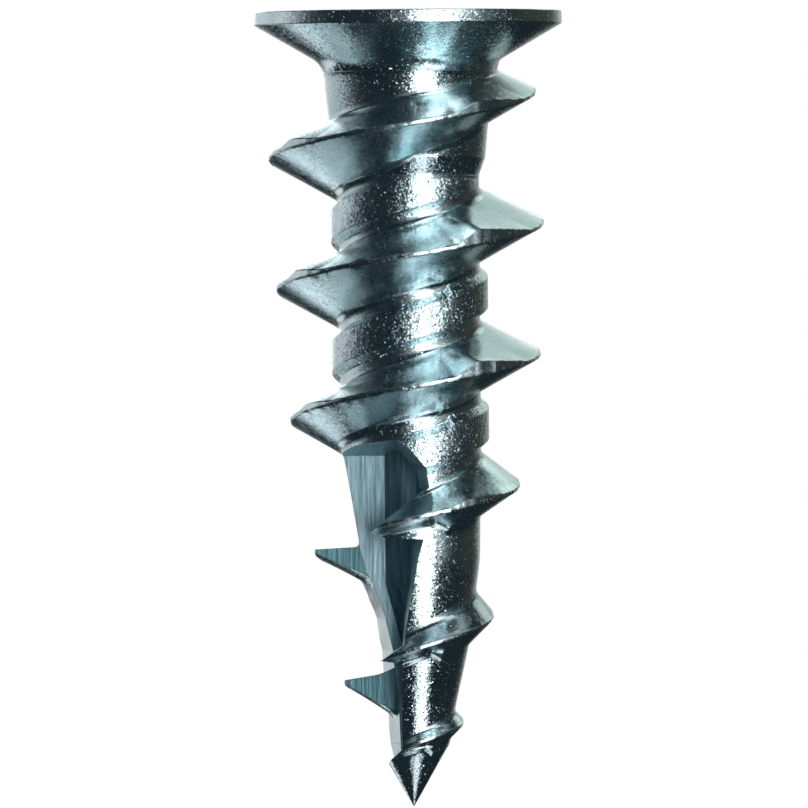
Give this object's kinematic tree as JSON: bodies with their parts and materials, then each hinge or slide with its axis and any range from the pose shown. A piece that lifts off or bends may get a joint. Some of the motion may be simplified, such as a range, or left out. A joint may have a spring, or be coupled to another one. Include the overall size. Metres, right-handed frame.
{
  "type": "wall anchor",
  "caption": "Self-drilling cast zinc anchor for plasterboard: countersunk head, deep coarse thread with a low band thread between its turns, split nose and drill point.",
  "frame": {"origin": "centre of the head's top face, flush with the wall face when fixed", "axes": "+Z along the anchor's axis, out of the wall; -Y through the open window of the nose"},
  "size_m": [0.0124, 0.0124, 0.032],
  "materials": {
    "bright_zinc": "bright blue-white zinc plate over a die casting"
  },
  "bodies": {
    "root": {"head_flange": "bright_zinc", "neck_collar": "bright_zinc", "barrel": "bright_zinc", "deep_thread": "bright_zinc", "low_thread": "bright_zinc", "nose_legs": "bright_zinc", "nose_ridge_upper": "bright_zinc", "nose_ridge_lower": "bright_zinc", "drill_point": "bright_zinc"}
  },
  "joints": []
}
